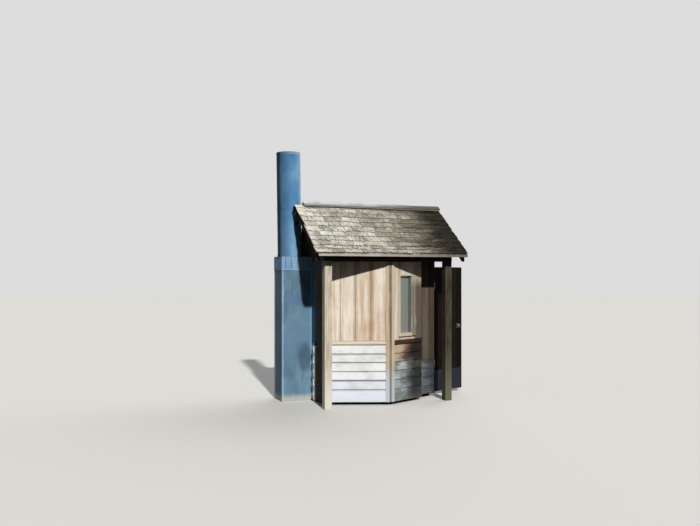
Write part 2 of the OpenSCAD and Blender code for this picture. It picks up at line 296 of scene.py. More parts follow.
class Value:
    # one socket, so that shader maths can be written as sums
    def __init__(self, finish, socket):
        self.finish, self.socket = finish, socket

    def maths(self, operation, *others):
        return self.finish.get("ShaderNodeMath", {"operation": operation}, dict(enumerate((self,) + others)))

    def flipped(self, operation, other):
        return self.finish.get("ShaderNodeMath", {"operation": operation}, {0: other, 1: self})

    def __add__(self, other): return self.maths("ADD", other)
    def __radd__(self, other): return self.maths("ADD", other)
    def __sub__(self, other): return self.maths("SUBTRACT", other)
    def __rsub__(self, other): return self.flipped("SUBTRACT", other)
    def __mul__(self, other): return self.maths("MULTIPLY", other)
    def __rmul__(self, other): return self.maths("MULTIPLY", other)
    def __truediv__(self, other): return self.maths("DIVIDE", other)
    def __rtruediv__(self, other): return self.flipped("DIVIDE", other)
    def __abs__(self): return self.maths("ABSOLUTE")

    def scaled(self, factors):
        return self.finish.get("ShaderNodeVectorMath", {"operation": "MULTIPLY"}, {0: self, 1: factors})

    def moved(self, offsets):
        return self.finish.get("ShaderNodeVectorMath", {"operation": "ADD"}, {0: self, 1: offsets})

    def part(self, axis):
        return self.finish.get("ShaderNodeSeparateXYZ", {}, {0: self}, out=axis)

    def noise(self, factors, detail=4.0, rough=0.55, twist=0.0):
        return self.finish.get("ShaderNodeTexNoise", {}, {
            "Vector": self.scaled(factors), "Scale": 1.0, "Detail": detail, "Roughness": rough, "Distortion": twist})

    def spots(self, factors, feature="F1"):
        sockets = {"Vector": self.scaled(factors), "Scale": 1.0}
        return self.finish.get("ShaderNodeTexVoronoi", {"feature": feature}, sockets)

    def between(self, low, high, start=0.0, end=1.0):
        # a smooth rise from start at low to end at high
        sockets = {0: self, 1: low, 2: high, 3: start, 4: end}
        return self.finish.get("ShaderNodeMapRange", {"interpolation_type": "SMOOTHSTEP"}, sockets)


class Finish:
    # a material, or the world; a colour is written as in "cc9966" and body is the colour so far
    def __init__(self, owner, look=None):
        self.owner = bpy.data.materials.new(owner) if isinstance(owner, str) else owner
        self.owner.use_nodes = True
        self.tree = self.owner.node_tree
        self.tree.nodes.clear()
        self.look = look

    def node(self, kind, settings=None, sockets=None):
        node = self.tree.nodes.new(kind)
        for key, value in (settings or {}).items():
            setattr(node, key, value)
        for key, value in (sockets or {}).items():
            if isinstance(value, Value):
                self.tree.links.new(value.socket, node.inputs[key])
            else:
                node.inputs[key].default_value = fromHex(value) if isinstance(value, str) else value
        return node

    def get(self, kind, settings=None, sockets=None, out=0):
        return Value(self, self.node(kind, settings, sockets).outputs[out])

    def place(self, turn=(0, 0, 0)):
        spot = self.get("ShaderNodeTexCoord", out="Object")
        if any(turn):
            turned = tuple(math.radians(a) for a in turn)
            spot = self.get("ShaderNodeMapping", {}, {"Vector": spot, "Rotation": turned})
        return spot

    def board(self):
        # the board's own coordinates, and its tone from 0 to 1
        return (self.get("ShaderNodeUVMap", {"uv_map": "board"}),
                self.get("ShaderNodeAttribute", {"attribute_name": "tone"}, out="Fac"))

    def ray(self, kind):
        return self.get("ShaderNodeLightPath", out=f"Is {kind} Ray")

    def facing(self, axis):
        return self.get("ShaderNodeNewGeometry", out="Normal").part(axis)

    def mix(self, first, second, factor):
        sockets = {0: factor, 6: first, 7: second}
        return self.get("ShaderNodeMix", {"data_type": "RGBA", "clamp_factor": True}, sockets, out=2)

    def cover(self, colour, mask):
        # colour is a mix, or a name in the look, which may also give its share
        if isinstance(colour, str):
            share = self.look.get(colour + "Share")
            colour, mask = self.look[colour], mask if share is None else mask * share
        self.body = self.mix(self.body, colour, mask)

    def bump(self, height, distance, strength, **normal):
        return self.get("ShaderNodeBump", {}, {"Strength": strength, "Distance": distance, "Height": height, **normal})

    def close(self, **sockets):
        named = {key.replace("_", " "): value for key, value in sockets.items()}
        shader = self.get("ShaderNodeBsdfPrincipled", {}, {"Base Color": self.body, **named})
        self.node("ShaderNodeOutputMaterial", {}, {0: shader})
        return self.owner


woodUsual = dict(ringShare=0.3, greying=0.6, bandShare=0.2, toneRange=0.35, knots=0.5, checks=0.55, dampWander=0.1,
    dirtTop=0.32, dirtFull=0.05, dirtShare=0.35, depth=0.0011)


def woodFinish(name, look):
    # grain runs along the first coordinate: the board's own, or the object's turned by look["turn"]
    look = woodUsual | look
    finish = Finish(name, look)
    spot = finish.place()
    alongX, height = spot.part(0), spot.part(2)
    if "turn" in look:
        grain, tone = finish.place(look["turn"]), spot.noise((3, 3, 3), detail=1)
    else:
        grain, tone = finish.board()
    wander = grain.noise((1.6, 6, 6), detail=3)
    streaks = grain.noise((2.2, 60, 60), detail=7, rough=0.62, twist=0.3)
    bands = grain.noise((0.9, 17, 17), detail=2)
    fibres = grain.noise((16, 700, 700), detail=3, rough=0.6)
    rings = (grain.part(1) * 240 + wander * 26).maths("SINE") * 0.5 + 0.5
    knot = grain.moved((3.3, 1.7, 0)).spots((1.7, 6.5, 6.5)).between(0.05, 0.13, 1.0, 0.0)
    checks = grain.noise((1.5, 95, 95), detail=2).between(0.66, 0.74)
    mottle = spot.noise((4, 4, 4), detail=5)

    figure = streaks * (1 - look["ringShare"]) + rings * look["ringShare"]
    finish.body = finish.mix(look["dark"], look["pale"], figure.between(0.28, 0.68))
    finish.cover("grey", (mottle + tone * 0.35).between(0.45, 0.95) * look["greying"])
    finish.cover("shade", bands.between(0.48, 0.70) * look["bandShare"])
    finish.cover("shade", (1 - tone) * look["toneRange"])
    if "blotch" in look:                        # uneven weathering in small patches
        blotches = grain.noise((4, 16, 16), detail=6, rough=0.6)
        finish.cover("shade", blotches.between(0.49, 0.63) * look["blotch"])
        finish.cover("pale", blotches.between(0.50, 0.38) * look["blotch"])
    finish.cover("deep", knot * look["knots"])
    finish.cover("deep", checks * look["checks"])
    for joint, width, share in look.get("joints", ()):    # stained where two boards meet, in metres along the wall
        gap = abs(alongX * look["perMetre"] - joint) + (wander - 0.5) * 0.03
        stain = gap.between(width, width * 0.15) * mottle.between(0.25, 0.55, 0.45, 1.0)
        finish.cover("joint", stain * share)
    if "rust" in look:                          # brown stain that gathers low on the boards
        low = (height + (streaks - 0.5) * 0.9).between(look["rustTop"], look["rustTop"] - 0.35)
        side = (alongX + (wander - 0.5) * 0.12).between(look["rustFrom"], look["rustTo"])
        stain = (streaks * 0.5 + mottle * 0.5).between(0.38, 0.62)
        finish.cover("rust", low * side * stain)
    if "lowEdge" in look:                       # greyer along the lower edge
        low = (height + (streaks - 0.5) * 0.01).between(look["lowFrom"], look["lowFrom"] - 0.010)
        finish.cover("lowEdge", low * look["lowShare"])
    if "damp" in look:                          # painted shade, darker towards the right end
        damp = (alongX + (mottle - 0.5) * look["dampWander"]).between(look["dampFrom"], look["dampTo"])
        if "dampTop" in look:                   # but paler again near the top
            damp = damp * (height + (mottle - 0.5) * 0.1).between(look["dampTop"], look["dampTop"] - 0.14, 0.4, 1.0)
        finish.cover("damp", damp)
    if "under" in look:                         # painted shade on the underside
        finish.cover("under", finish.facing(2).between(-0.2, -0.6))
    dirt = (height + mottle * 0.25).between(look["dirtTop"], look["dirtFull"])
    finish.cover("dirt", dirt)
    if "seam" in look:                          # the joint of the corner boards shows dark in the grey dirt, with painted shade in the gap
        finish.cover("seam", abs(alongX - look["seamX"]).between(0.016, 0.004) * dirt)
    relief = streaks * 0.55 + fibres * 0.45 - checks * 0.9 - knot * 0.2
    return finish.close(Roughness=streaks.between(0.2, 0.8, 0.95, 0.72), Specular_IOR_Level=0.03,
                        Normal=finish.bump(relief, look["depth"], 0.8))


def paintedBoardFinish(name, look):
    # worn pale paint on boards, with bare wood along the grain and cold grey dirt low down
    finish = Finish(name, look)
    spot = finish.place()
    alongX, height = spot.part(0), spot.part(2)
    grain, tone = finish.board()
    streaks = grain.noise((2.6, 55, 55), detail=7, rough=0.62, twist=0.2)
    fibres = grain.noise((18, 650, 650), detail=3)
    mottle = spot.noise((5, 5, 7), detail=6)
    chips = grain.noise((9, 46, 46), detail=6, rough=0.7)
    bare = (streaks * 0.6 + chips * 0.4 + (0.5 - tone) * 0.10).between(look["bareFrom"], look["bareFrom"] + 0.09)

    finish.body = finish.mix(look["paint"], look["paintOld"], mottle.between(0.35, 0.7))
    finish.cover("cold", (height + mottle * 0.3).between(look["coldTop"], look["coldTop"] - 0.25))
    wood = finish.mix(look["wood"], look["woodDark"], streaks.between(0.35, 0.65))
    finish.cover(wood, bare * look["bareShare"])
    if "brown" in look:                         # the upper boards have lost their paint, and are paler near the corner
        figure = (streaks * 0.7 + mottle * 0.3).between(0.43, 0.60)
        brown = finish.mix(look["brown"], look["woodDark"], figure * 0.85)
        bleached = (alongX + (streaks - 0.5) * 0.3 + (mottle - 0.5) * 0.2).between(0.26, 0.12)
        brown = finish.mix(brown, look["bleached"], bleached * 0.75)
        upper = (height + (mottle - 0.5) * 0.10).between(look["brownFrom"], look["brownFrom"] + 0.04)
        finish.cover(brown, upper * look["brownShare"])
    # painted shade, darker towards the right end
    if "damp" in look:
        finish.cover("damp", (alongX + (mottle - 0.5) * 0.25).between(look["dampFrom"], look["dampTo"]))
    finish.cover("stain", (mottle * 0.7 + tone * 0.3).between(0.50, 0.80))
    finish.cover("splash", (height + mottle * 0.16).between(0.20, 0.06))
    for lap, share in look.get("laps", ()):     # painted shade under the laps, by their height
        lapShade = (abs(height - lap + 0.005) + (streaks - 0.5) * 0.008).between(0.021, 0.004)
        finish.cover("lapGrime", lapShade * share)
    relief = fibres * 0.3 + streaks * 0.5 - bare * 0.6
    return finish.close(Roughness=bare.between(0, 1, 0.62, 0.9), Specular_IOR_Level=0.05,
                        Normal=finish.bump(relief, 0.0009, 0.8))


def shakeFinish(name, look):
    # split shakes: fine lichen and needles all over, brown litter in drifts, and painted tree shade towards the right
    # end
    finish = Finish(name, look)
    spot = finish.place()
    alongX = spot.part(0)
    grain, tone = finish.board()
    splits = grain.noise((11, 95, 95), detail=6, rough=0.68)
    fibres = grain.noise((20, 620, 620), detail=3)
    specks = spot.noise((26, 52, 52), detail=4, rough=0.7)
    flecks = spot.moved((7, 0, 3)).noise((64, 50, 50), detail=2, rough=0.6)
    patches = spot.noise((6, 9, 9), detail=6, rough=0.62)
    hues = spot.moved((0, 5, 9)).noise((5, 7, 7), detail=4, rough=0.5)
    drifts = finish.place((0, 9, 0)).noise((1.6, 9, 9), detail=6, rough=0.62, twist=0.6)

    figure = splits * 0.5 + specks * 0.2 + patches * 0.3 + (tone - 0.5) * look["toneShare"]
    finish.body = finish.mix(look["dark"], look["pale"], figure.between(0.43, 0.58))
    finish.cover("warm", hues.between(0.48, 0.68) * 0.5)
    finish.cover("cool", hues.between(0.50, 0.34) * 0.45)
    finish.cover("lichen", (flecks * 0.7 + tone * 0.1).between(0.44, 0.53))
    grit = flecks * 0.3 + (1 - specks) * 0.1 + splits * 0.4 + patches * 0.2
    finish.cover("grit", grit.between(0.46, 0.39) * 0.75)
    # paler along the left rake: a painted highlight on the sunlit edge
    paintedRakeHighlight = (alongX + (patches - 0.5) * 0.2).between(-0.90, -0.99)
    finish.body = finish.mix(finish.body, look["lichen"], paintedRakeHighlight * 0.35)
    # painted tree shade: darker towards the right end, deepest near it
    finish.cover("shade", (alongX + (drifts - 0.5) * 0.9).between(look["shadeFrom"], look["shadeTo"]))
    finish.cover("litter", drifts.between(0.48, 0.62) * alongX.between(-0.5, 0.5))
    finish.cover("gloom", (alongX + (drifts - 0.5) * 0.7).between(look["paintedDeepShadeFrom"], look["paintedDeepShadeTo"]))
    endGrainAndShade = finish.facing(2).between(0.50, 0.20) * tone.between(1.3, 1.1)
    finish.cover("grit", endGrainAndShade * 0.8)            # dark end grain and painted shade on the butts and sides, but not on the starter course with its tone of 1.5
    relief = splits * 0.7 + fibres * 0.3 + patches * 0.3 + specks * 0.3
    return finish.close(Roughness=0.92, Specular_IOR_Level=0.03, Normal=finish.bump(relief, 0.0020, 0.9))


sheetUsual = dict(chalkShare=0.8, deepShare=0.6, rust="6b5648", rustTop=0.35, rustShare=0.5, gloss=0.5, dents=0.012)


def sheetFinish(name, look):
    # chalky paint on sheet metal with scuffs, faint runs and rust that starts at edges and near the ground
    look = sheetUsual | look
    finish = Finish(name, look)
    spot = finish.place()
    alongX, height = spot.part(0), spot.part(2)
    runs = spot.noise((22, 22, 1.2), detail=4, rough=0.55)
    clouds = spot.noise((3.2, 3.2, 2.6), detail=5, rough=0.58)
    fine = spot.noise((160, 160, 90), detail=3)
    chips = spot.noise((26, 26, 18), detail=6, rough=0.7)
    broad = spot.moved((4, 2, 0.3)).noise((4.2, 4.2, 2.0), detail=5, rough=0.5, twist=0.4)

    chalk = (clouds * 0.85 + runs * 0.15).between(0.42, 0.66)
    finish.body = finish.mix(look["paint"], look["chalk"], chalk * look["chalkShare"])
    finish.cover("deep", (clouds * 0.6 + runs * 0.4).between(0.51, 0.64))
    finish.cover("deep", broad.between(0.47, 0.72))
    if "pale" in look:                          # bare galvanised sheet below the paint
        finish.cover("pale", (height + clouds * 0.10).between(look["paleTop"], look["paleTop"] - 0.03))
    if "rim" in look:                           # the bare rim at the top of the pipe
        finish.cover("rim", height.between(look["rimFrom"], look["rimFrom"] + 0.004) * 0.7)
    if "lee" in look:                           # painted shade on the side that looks away from the light
        finish.cover("lee", finish.facing(0).between(-0.55, -0.85) * 0.35)
    if "soot" in look:                          # painted shade on the left side and a painted highlight on the right, across the leaning pipe; paler low down
        across = alongX + (height - 1.76) * 0.014
        finish.cover("lowPaint", (height + (clouds - 0.5) * 0.2).between(2.27, 2.05) * 0.5)
        finish.cover("leeSide", (across + (clouds - 0.5) * 0.03).between(-0.92, -1.10) * 0.62)
        finish.cover("sunSide", (across + (clouds - 0.5) * 0.03).between(-0.93, -0.85) * 0.3)
        finish.cover("soot", (across + (clouds - 0.5) * 0.02).between(-1.097, -1.117))
    if "band" in look:                          # darker runs below the skirt, and a painted tree shadow low on the right
        run = abs(height + (clouds - 0.5) * 0.5 - 1.25).between(0.26, 0.05)
        finish.cover("band", run * broad.between(0.30, 0.55) * 0.42)
        across, up = (alongX + 0.835) / 0.10, (height - 0.54) / 0.17
        smudge = (across * across + up * up + (broad - 0.5) * 2.0).between(1.5, 0.1)
        finish.cover("smudge", smudge * 0.55)
    if "dust" in look:                          # pale splash just above the ground
        finish.cover("dust", (height + (clouds - 0.5) * 0.05 + (runs - 0.5) * 0.05).between(0.105, 0.02) * 0.75)
    low = (height + clouds * 0.3).between(look["rustTop"], look["rustTop"] - 0.5)
    rust = (chips + low * 0.10).between(0.665, 0.72)
    finish.cover("rust", rust)
    relief = fine * 0.25 + chips * 0.2 - rust * 0.3
    dented = finish.bump(clouds, look["dents"], 0.6)
    return finish.close(Roughness=(clouds * 0.5 + rust).between(0.1, 1.0, look["gloss"], 0.85),
                        Specular_IOR_Level=0.06, Normal=finish.bump(relief, 0.0004, 0.6, Normal=dented))


def steelFinish(name, look):
    finish = Finish(name, look)
    spot = finish.place()
    scuffs = spot.noise((220, 60, 60))
    rust = spot.noise((45, 45, 45), detail=6, rough=0.7).between(0.52, 0.66)
    finish.body = finish.mix(look["steel"], look["rust"], rust * look["rustShare"])
    return finish.close(Metallic=1 - rust * 0.8, Roughness=(scuffs + rust * 0.4).between(0.3, 1.0, 0.32, 0.8),
                        Normal=finish.bump(scuffs + rust, 0.0003, 0.6))


def paneFinish(name, look):
    # obscured glass with dust that lies thicker low down
    finish = Finish(name, look)
    spot = finish.place()
    clouds = spot.noise((6, 6, 5), detail=5)
    seed = spot.spots((130, 130, 130), feature="SMOOTH_F1")
    dust = (spot.part(2) + clouds * 0.5).between(1.75, 0.95)
    finish.body = finish.mix(look["glass"], look["dust"], dust * 0.65)
    finish.cover("deep", clouds.between(0.6, 0.75) * 0.25)
    return finish.close(Roughness=clouds.between(0.3, 0.7, 0.28, 0.5), Coat_Weight=0.25, Coat_Roughness=0.2,
                        Normal=finish.bump(seed, 0.0006, 0.5))


def woodHues(codes, **more):
    return dict(zip(("pale", "dark", "grey", "shade", "deep", "dirt"), codes.split()), **more)


bayAngle = math.radians(21.5)                  # how far each bay wall folds back
cosA, sinA = math.cos(bayAngle), math.sin(bayAngle)
panelLook = woodHues("fff9ef e8d9c2 eee8e2 ccb192 9c7e5c c8b296", greying=0.5, toneRange=0.30, ringShare=0.06,
    bandShare=0.75, checks=0.2, knots=0.3, blotch=0.3, joint="ab8c69", rust="c59a70", rustTop=1.30, rustFrom=-0.46,
    rustTo=-0.28, rustShare=0.55)
# each joint: where it is along the wall, how far its stain reaches, and its share
warmBoards = woodFinish("warmBoards", panelLook | dict(perMetre=-1 / cosA,
    joints=((0.2354, 0.055, 0.75), (0.4187, 0.045, 0.5), (0.5959, 0.03, 0.35))))
# right bay wall: boards a little darker than the left ones, and painted tree shade towards the right end
windowBoards = woodFinish("windowBoards", panelLook | dict(rustTop=0.9, rustFrom=0.0, rustTo=0.1, rustShare=0.3,
    pale="efe5d6", dark="cdbea8", perMetre=1 / cosA, joints=((0.142, 0.04, 0.5),), damp="453f32", dampFrom=0.372,
    dampTo=0.425, dampShare=0.88, dampTop=1.52))
# a darkened copy of the bay boards for the return and the corner wall: painted shade
shadedBoards = woodFinish("shadedBoards", woodHues("776a58 584c3f 6a5f62 322a22 241d16 42403d", dirtTop=0.95,
    dirtShare=0.8, toneRange=0.75, ringShare=0.12, bandShare=0.5, checks=0.4, knots=0.4))
darkBoards = woodFinish("darkBoards", woodHues("75695a 4e4337 7a756d 3a3026 231c15 5c5c52", greying=0.7,
    toneRange=0.5, dirtShare=0.5))
# right rail: painted shade, darker towards the right end
rustyRail = woodFinish("rustyRail", woodHues("694a3a 472e24 5a463a 2f201a 241812 4a3a30", greying=0.4, damp="2b211b",
    dampFrom=0.15, dampTo=0.45, dampShare=0.8))
frameLook = woodHues("54473a 372d25 5a534a 2b231b 18120c 4a463c", greying=0.5)
frameWood = woodFinish("frameWood", frameLook | dict(turn=(0, 0, 0)))
rafterWood = woodFinish("rafterWood", frameLook | dict(turn=(0, 0, 90)))
# eave boards: painted shade underneath and towards the right end
eaveWood = woodFinish("eaveWood", woodHues("ccc9c4 a6a29c c0beba 8f8a82 5b5347 6f6a5e", turn=(0, 0, 0),
    under="3a3026", damp="57503f", dampFrom=0.1, dampTo=0.9, dampShare=0.8))
innerWood = woodFinish("innerWood", woodHues("7d6a53 5b4a38 77695a 46392b 2a2018 55503f", greying=0.4,
    turn=(0, 90, 0)))
deckWood = woodFinish("deckWood", woodHues("8a7c68 62553f 857e72 4b4030 2a2118 5a5546", dirtTop=0.5, dirtShare=0.5))
postLook = woodHues("e8dfcf bcae98 d3cdc2 978871 6b5a45 cdcbb9", greying=0.4, toneRange=0.25, bandShare=0.45,
    blotch=0.4, depth=0.0022, checks=0.6)
postWood = woodFinish("postWood", postLook | dict(dirt="f2f1e6", dirtTop=0.90, dirtFull=0.10, dirtShare=0.8))
# the other posts: a darker, greyer copy of the post wood, weathering and painted tree shade
greyPostWood = woodFinish("greyPostWood", postLook | woodHues("5d564a 3f392f 504c44 2b261f 1e1913 757862",
    dirtTop=0.95, dirtShare=0.8, toneRange=0.6))
# the dark joint and seam at the corner are partly a real joint and partly painted shade in the gap
cornerWood = woodFinish("cornerWood", woodHues("e6dac6 cdbca0 d6cfc2 a89273 7b6148 ccd3dc", dirtTop=0.64,
    dirtFull=0.40, dirtShare=0.92, greying=0.4, toneRange=0.4, ringShare=0.1, bandShare=0.35, rust="b98c68",
    rustTop=0.95, rustFrom=-0.2, rustTo=-0.1, rustShare=0.45, perMetre=1, joint="6f6051",
    joints=((-0.010, 0.026, 0.8),), seam="4d5862", seamX=-0.010, seamShare=0.75))
trimLook = woodHues("ece3d5 d3c6b0 dad5cb a08c6c 7b6148 d3d8dc", dirtTop=0.50, dirtShare=0.75, greying=0.4,
    toneRange=0.85, ringShare=0.1, bandShare=0.35)
trimWood = woodFinish("trimWood", trimLook)
# window frame: its right stile darker, painted shade
windowTrim = woodFinish("windowTrim", trimLook | dict(pale="eae2d5", damp="55584a", dampFrom=0.325, dampTo=0.362,
    dampWander=0.05, dampShare=0.7, dampTop=1.52))
# ridge cap: painted tree shade, darker towards the right end
capWood = woodFinish("capWood", woodHues("dde1e2 a9adae c3c8ca 8a8983 6f695d 7b6148", blotch=0.7, toneRange=0.15,
    bandShare=0.3, lowEdge="8b8b90", lowFrom=2.4125, lowShare=0.7, damp="575243", dampFrom=-0.2, dampTo=0.70,
    dampWander=0.3, dampShare=0.9))
feltFinish = sheetFinish("feltFinish", dict(paint="84827c", chalk="989690", chalkShare=0.7, deep="66645f",
    rust="4b473e", rustTop=0.3, rustShare=0.3, gloss=0.85))
# door: dark brown wood, darkened further as painted shade
doorWood = woodFinish("doorWood", woodHues("211c18 15110e 262220 0e0b09 080605 1d1b19", greying=0.4, toneRange=0.4))
stopWood = woodFinish("stopWood", woodHues("75777f 5b5d66 6b6d76 42444c 2c2d33 5d5e62", greying=0.5))
sidingPaint = dict(paint="f4f6f7", paintOld="dfe3e6", cold="dee5f2", coldTop=0.56, coldShare=0.75, wood="bdb6ab",
    woodDark="948d84", bareFrom=0.555, bareShare=0.6, stain="c2bfb4", stainShare=0.5, splash="c9c2a0",
    splashShare=0.4)
# painted shade under each lap of the left siding
sidingFinish = paintedBoardFinish("sidingFinish", sidingPaint | dict(cold="e6eeff", coldShare=0.9, splashShare=0.25,
    lapGrime="8f989d", laps=((0.607, 0.45), (0.507, 0.35), (0.401, 0.25), (0.295, 0.75), (0.185, 0.35))))
# right bay siding: worn paint, darker than the left siding, with painted tree shade towards the right end
wornSidingFinish = paintedBoardFinish("wornSidingFinish", sidingPaint | dict(paint="c3c9cb", paintOld="929c9b",
    cold="a3b3b7", bareFrom=0.55, bareShare=0.75, wood="6f6a61", woodDark="43382e", brown="9c7554", bleached="cbc0a6",
    brownFrom=0.50, brownShare=0.9, damp="15191a", dampFrom=0.12, dampTo=0.39, dampShare=0.95, stain="5f5c52",
    stainShare=0.6, splash="8a8a78"))
# corner wall siding: a darkened copy of the siding paint, painted shade, and darker towards its right end
dimSidingFinish = paintedBoardFinish("dimSidingFinish", sidingPaint | dict(paint="7b838b", paintOld="5a6067",
    cold="68737f", bareFrom=0.52, bareShare=0.8, wood="4c4944", woodDark="322e29", stain="47443d", stainShare=0.6,
    splash="55544a", damp="26282c", dampFrom=0.56, dampTo=0.80, dampShare=0.8))
# the shade colours of the roof are painted tree shade towards the right end
shakesFinish = shakeFinish("shakesFinish", dict(pale="dfddd4", dark="86827a", warm="b8a996", cool="a0a5a3",
    lichen="f2f2ea", lichenShare=0.5, grit="4b473e", toneShare=0.09, shade="59553f", shadeFrom=-0.62, shadeTo=0.75,
    shadeShare=0.66, litter="57442f", litterShare=0.6, gloom="1c1915", paintedDeepShadeFrom=0.16, paintedDeepShadeTo=0.82, gloomShare=0.94))
# stack box: painted shade on its left side, and a painted tree shadow low on the right of its front
stackFinish = sheetFinish("stackFinish", dict(band="46648f", smudge="263c50", paint="6b8ca6", chalk="84a0b0",
    deep="4c6a83", lee="2b3843", dust="d3cfc6"))
# pipe: painted shade on its left side and a painted highlight on its right
pipeFinish = sheetFinish("pipeFinish", dict(paint="5e95c6", chalk="92bede", chalkShare=0.85, deep="3d6c9e",
    deepShare=0.75, rust="5d5a58", rustShare=0.3, gloss=0.42, rim="a9bcc6", rimFrom=3.014, soot="0e1c28",
    sootShare=0.92, leeSide="2a4a6c", sunSide="a9c8da", lowPaint="8fbfe8"))
# paler sheet for the angle edges and the skirt, partly a painted highlight along the box's edges; painted shade on the
# left side
edgeFinish = sheetFinish("edgeFinish", dict(paint="88aed2", chalk="a4c4dc", deep="6389b2", lee="2b3843",
    dust="d3cfc6"))
ribFinish = sheetFinish("ribFinish", dict(paint="6389ac", chalk="86a6c4", chalkShare=0.6, deep="41668a"))
flashingFinish = sheetFinish("flashingFinish", dict(paint="56728a", chalk="6f8b9f", chalkShare=0.7, deep="3f5a72",
    rustTop=0.5, rustShare=0.4, pale="e9efef", paleTop=0.74))
# kick plate: a mid grey plate darkened as painted shade
kickFinish = sheetFinish("kickFinish", dict(paint="2b2e3b", chalk="393d4a", chalkShare=0.6, deep="1f222b",
    rust="59443a", rustTop=0.3, dents=0.004))
knobFinish = steelFinish("knobFinish", dict(steel="5f5f5d", rust="3a2d24", rustShare=0.7))
hardwareFinish = steelFinish("hardwareFinish", dict(steel="8b8c8c", rust="5a4030", rustShare=0.6))
paneGlass = paneFinish("paneGlass", dict(glass="808a83", dust="858475", deep="646f6b"))
print("finishes made")


# carried over pieces keep their shape and get a finish

cadFinishes = (
    (innerWood, "left_wall rear_wall right_rear_jamb door_head front_corner_wall bay_return bay_left_wall"),
    (innerWood, "bay_right_wall left_gable right_gable door_stops"),
    (frameWood, "front_header rear_header ridge_board"),
    (rafterWood, "left_barge_rafters right_barge_rafters inner_rafters"),
    (eaveWood, "front_sheathing rear_sheathing"),
    (stackFinish, "stack_lid"),
    (pipeFinish, "stack_collar stack_pipe"),
    (hardwareFinish, "hinge_leaves_frame hinge_pins hinge_leaves_door"),
    (knobFinish, "door_knob"),
    (paneGlass, "window_pane"))
for finish, nodes in cadFinishes:
    for node in nodes.split():
        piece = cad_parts[node]
        piece.data.materials.clear()
        piece.data.materials.append(finish)
        if finish in (pipeFinish, hardwareFinish, knobFinish):    # the round ones
            pick(piece)
            bpy.ops.object.shade_smooth_by_angle(angle=math.radians(35))


# wall faces of the hut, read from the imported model

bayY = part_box("bay_left_wall")[0].y
leftX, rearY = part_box("left_wall")[0].x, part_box("rear_wall")[1].y
rightX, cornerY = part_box("front_corner_wall")[1].x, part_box("front_corner_wall")[0].y
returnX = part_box("bay_return")[1].x
bayLeft = Face((0, bayY, 0), (-cosA, sinA, 0), (-sinA, -cosA, 0))
bayRight = Face((0, bayY, 0), (cosA, sinA, 0), (sinA, -cosA, 0))
returnFace = Face((returnX, bayY + returnX * math.tan(bayAngle), 0), (0, 1, 0), xAlong)
cornerFace = Face((returnX, cornerY, 0), xAlong, (0, -1, 0))
leftFace = Face((leftX, rearY, 0), (0, -1, 0), (-1, 0, 0))
rearFace = Face((0, rearY, 0), xAlong, (0, 1, 0))
rightFace = Face((rightX, cornerY, 0), (0, 1, 0), xAlong)
bayLeftEnd, bayRightEnd = -leftX / cosA, returnX / cosA


# bay walls: upright boards over a rail and lapped siding

rail = dict(low=0.716, high=0.760, thick=0.026, slope=0.25)
upper = dict(low=rail["high"] + 0.002, high=1.698, thick=0.009, leftStart=0.058, leftJoints=(0.2354, 0.4187, 0.5959),
    rightStart=0.046, rightJoint=0.487, returnLow=0.038, returnWidth=0.09, nailHeights=(0.80, 1.24, 1.655))
edges = (upper["leftStart"], *upper["leftJoints"], bayLeftEnd)
tones = (0.72, 0.55, 0.8, 0.66)
leftBoards = uprightBoards(bayLeft, edges, upper["low"], upper["high"], upper["thick"], tones=tones)
ready("bayLeftBoards", leftBoards, warmBoards, "bay_boards")
addNails("bayLeftNails", bayLeft, edges, upper["nailHeights"], upper["thick"])

window = dict(start=0.142, end=0.422, low=0.820, high=1.546, rim=0.020, back=-0.050, proud=0.014)
rightBoards = []
for edges, low, high, tones in (
        ((upper["rightStart"], window["start"]), upper["low"], upper["high"], (0.9,)),
        ((window["start"], window["end"]), upper["low"], window["low"], (0.6,)),
        ((window["start"], window["end"]), window["high"], upper["high"], (0.8,)),
        ((window["end"], upper["rightJoint"], bayRightEnd), upper["low"], upper["high"], (0.75, 0.3))):
    rightBoards += uprightBoards(bayRight, edges, low, high, upper["thick"], tones=tones)
ready("bayRightBoards", rightBoards, windowBoards, "bay_boards")
addNails("bayRightNails", bayRight, (upper["rightStart"], window["start"]), upper["nailHeights"], upper["thick"])

siding = dict(edges=(rail["low"], 0.607, 0.507, 0.401, 0.295, 0.185, 0.036), thick=0.019, taper=0.6, gap=0.003)
bayLeftRun = (bayLeft, upper["leftStart"], bayLeftEnd)
bayRightRun = (bayRight, upper["rightStart"], bayRightEnd)
for name, node, run, finish, tones in (
        ("bayLeftSiding", "bay_left_siding", bayLeftRun, sidingFinish, (0.5, 0.2, 0.45, 0.8, 0.9, 0.6)),
        ("bayRightSiding", "bay_right_siding", bayRightRun, wornSidingFinish, (0.1, 0.2, 0.9, 0.4, 0.65, 0.8))):
    boards = levelBoards(*run, siding["edges"], siding["thick"], tones, siding["taper"], siding["gap"])
    ready(name, boards, finish, "siding", node)
for name, node, run, finish, tone in (("bayLeftRail", "bay_left_rail", bayLeftRun, trimWood, 0.9),
                                      ("bayRightRail", "bay_right_rail", bayRightRun, rustyRail, 0.3)):
    boards = levelBoards(*run, (rail["high"], rail["low"]), rail["thick"], (tone,), rail["slope"])
    ready(name, boards, finish, "trim", node)

cornerBoard = dict(high=1.662, thick=0.022, middle=0.867)
corner = []
for face, width, s, tone in ((bayLeft, 0.056, 0.030, 0.35), (bayRight, 0.044, 0.024, 0.9)):
    size = (cornerBoard["high"], width, cornerBoard["thick"])
    corner.append(layBoard(size, zUp, face.out, face.at(s, cornerBoard["middle"]), tone=tone))
ready("cornerBoards", corner, cornerWood, "trim", "corner_boards")

returnEdges = evenEdges(0.0, cornerY - returnFace.origin.y, upper["returnWidth"])
returnBoards = uprightBoards(returnFace, returnEdges, upper["returnLow"], upper["high"], upper["thick"])
ready("returnBoards", returnBoards, shadedBoards, "bay_boards")

